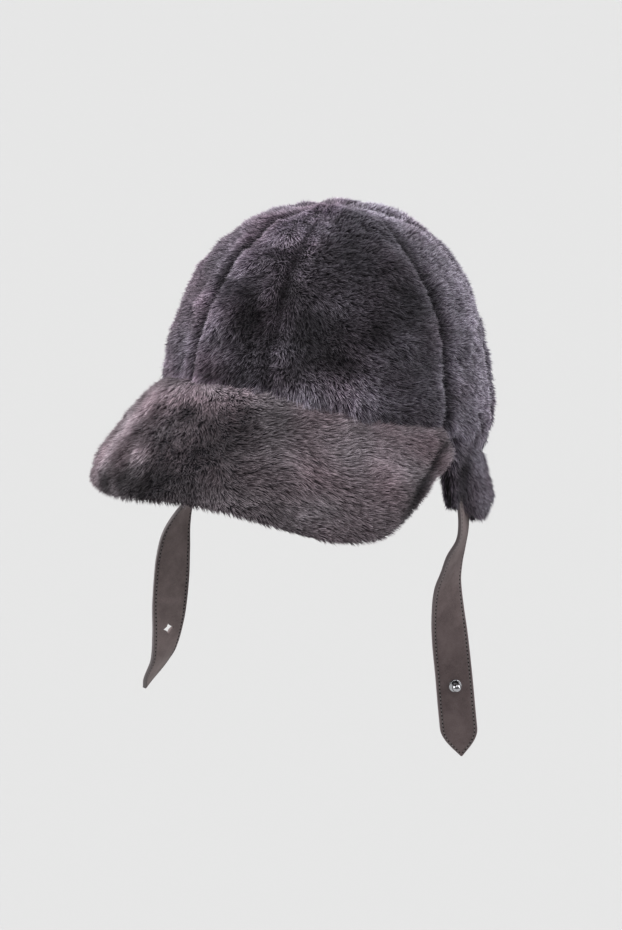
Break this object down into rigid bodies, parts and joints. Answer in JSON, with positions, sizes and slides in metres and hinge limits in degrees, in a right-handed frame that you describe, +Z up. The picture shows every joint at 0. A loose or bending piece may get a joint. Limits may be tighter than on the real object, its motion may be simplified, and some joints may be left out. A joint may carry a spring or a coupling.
{
  "type": "fur trapper cap",
  "caption": "Plush fur cap: domed crown sewn from gores, deep drooping peak, ear flaps, and stitched leather chin straps that close with a ball stud.",
  "frame": {"origin": "inside of the crown's top, where the wearer's head carries the cap", "axes": "+Z up as worn, -Y towards the front over the peak, +X towards the wearer's left"},
  "size_m": [0.2391, 0.2789, 0.3571],
  "materials": {
    "crown_fur": "plush sheared fur, grey-brown with dark depths",
    "peak_fur": "longer fur combed smooth",
    "flap_fur": "plush sheared fur",
    "strap_leather": "matt suede leather with edge stitching",
    "stud_metal": "bright plated steel"
  },
  "bodies": {
    "root": {"gore_front": "crown_fur", "gore_left_front": "crown_fur", "gore_left_ear": "crown_fur", "gore_left_back": "crown_fur", "gore_right_front": "crown_fur", "gore_right_ear": "crown_fur", "gore_right_back": "crown_fur", "peak_upper": "peak_fur", "peak_under": "peak_fur", "ear_flap_left_outer": "flap_fur", "ear_flap_left_lining": "flap_fur", "ear_flap_right_outer": "flap_fur", "ear_flap_right_lining": "flap_fur", "strap_left": "strap_leather", "strap_right": "strap_leather", "ball_stud": "stud_metal"}
  },
  "joints": []
}
